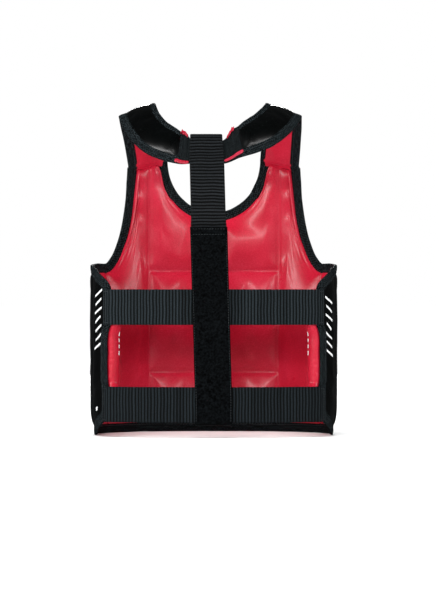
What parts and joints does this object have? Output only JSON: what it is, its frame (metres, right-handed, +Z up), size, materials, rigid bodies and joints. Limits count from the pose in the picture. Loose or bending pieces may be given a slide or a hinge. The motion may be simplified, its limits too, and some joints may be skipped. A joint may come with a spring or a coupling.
{
  "type": "chest protector",
  "caption": "Padded, reversible chest and torso guard with a padded shoulder collar and an elastic back harness that closes with a hook-and-loop tail.",
  "frame": {"origin": "under the middle of the protector's bounding box, on the surface the hem stands on", "axes": "+Z up towards the collar, -Y the way the chest faces, +X the wearer's left side"},
  "size_m": [0.357, 0.274, 0.4775],
  "materials": {
    "black_leather": "glossy black synthetic leather",
    "red_leather": "glossy red synthetic leather",
    "binding_tape": "woven nylon",
    "ribbed_elastic": "ribbed woven elastic",
    "hook_tape": "matte hook fabric",
    "loop_tape": "matte loop pile",
    "foam": "closed-cell foam, hidden between cover and liner"
  },
  "bodies": {
    "chest": {"front_cover": "black_leather", "front_liner": "red_leather", "front_hem_binding": "binding_tape", "neck_binding": "binding_tape", "front_armhole_binding_left": "binding_tape", "front_armhole_binding_right": "binding_tape", "foam_belly_lower": "foam", "foam_belly_upper": "foam", "foam_chest_lower": "foam", "foam_chest_upper": "foam", "foam_flank_left": "foam", "foam_flank_right": "foam", "upper_band": "ribbed_elastic", "lower_band": "ribbed_elastic", "spine_strap": "ribbed_elastic", "loop_tape": "loop_tape"},
    "left_wing": {"side_cover_left": "black_leather", "side_liner_left": "red_leather", "side_hem_binding_left": "binding_tape", "side_armhole_binding_left": "binding_tape", "rear_binding_left": "binding_tape", "foam_side_front_left": "foam", "foam_side_rear_left": "foam", "edge_roll_left": "red_leather"},
    "right_wing": {"side_cover_right": "black_leather", "side_liner_right": "red_leather", "side_hem_binding_right": "binding_tape", "side_armhole_binding_right": "binding_tape", "rear_binding_right": "binding_tape", "foam_side_front_right": "foam", "foam_side_rear_right": "foam", "edge_roll_right": "red_leather"},
    "collar": {"collar_tab": "binding_tape", "shoulder_cover_left": "black_leather", "shoulder_foam_left": "foam", "shoulder_liner_left": "red_leather", "neck_side_binding_left": "binding_tape", "arm_side_binding_left": "binding_tape", "tab_piping_upper_left": "red_leather", "tab_piping_lower_left": "red_leather", "shoulder_cover_right": "black_leather", "shoulder_foam_right": "foam", "shoulder_liner_right": "red_leather", "neck_side_binding_right": "binding_tape", "arm_side_binding_right": "binding_tape", "tab_piping_upper_right": "red_leather", "tab_piping_lower_right": "red_leather"},
    "tail": {"closure_tail": "hook_tape", "hook_tape": "hook_tape"}
  },
  "joints": [
    {"name": "left_wing_hinge", "type": "hinge", "parent": "chest", "child": "left_wing", "pos_m": [0.1675, -0.0598, 0.13], "axis": [0, 0, -1], "range_deg": [0, 15], "stiffness_Nm_per_rad": 3, "deforming": ["upper_band", "lower_band"]},
    {"name": "right_wing_hinge", "type": "hinge", "parent": "chest", "child": "right_wing", "pos_m": [-0.1675, -0.0598, 0.13], "axis": [0, 0, 1], "range_deg": [0, 15], "stiffness_Nm_per_rad": 3, "deforming": ["upper_band", "lower_band"]},
    {"name": "collar_lift", "type": "hinge", "parent": "chest", "child": "collar", "pos_m": [0, -0.1129, 0.3995], "axis": [1, 0, 0], "range_deg": [0, 20], "stiffness_Nm_per_rad": 1.5, "deforming": ["spine_strap"]},
    {"name": "tail_peel", "type": "hinge", "parent": "chest", "child": "tail", "pos_m": [0, 0.1208, 0.0249], "axis": [-1, 0, 0], "range_deg": [0, 85]}
  ]
}
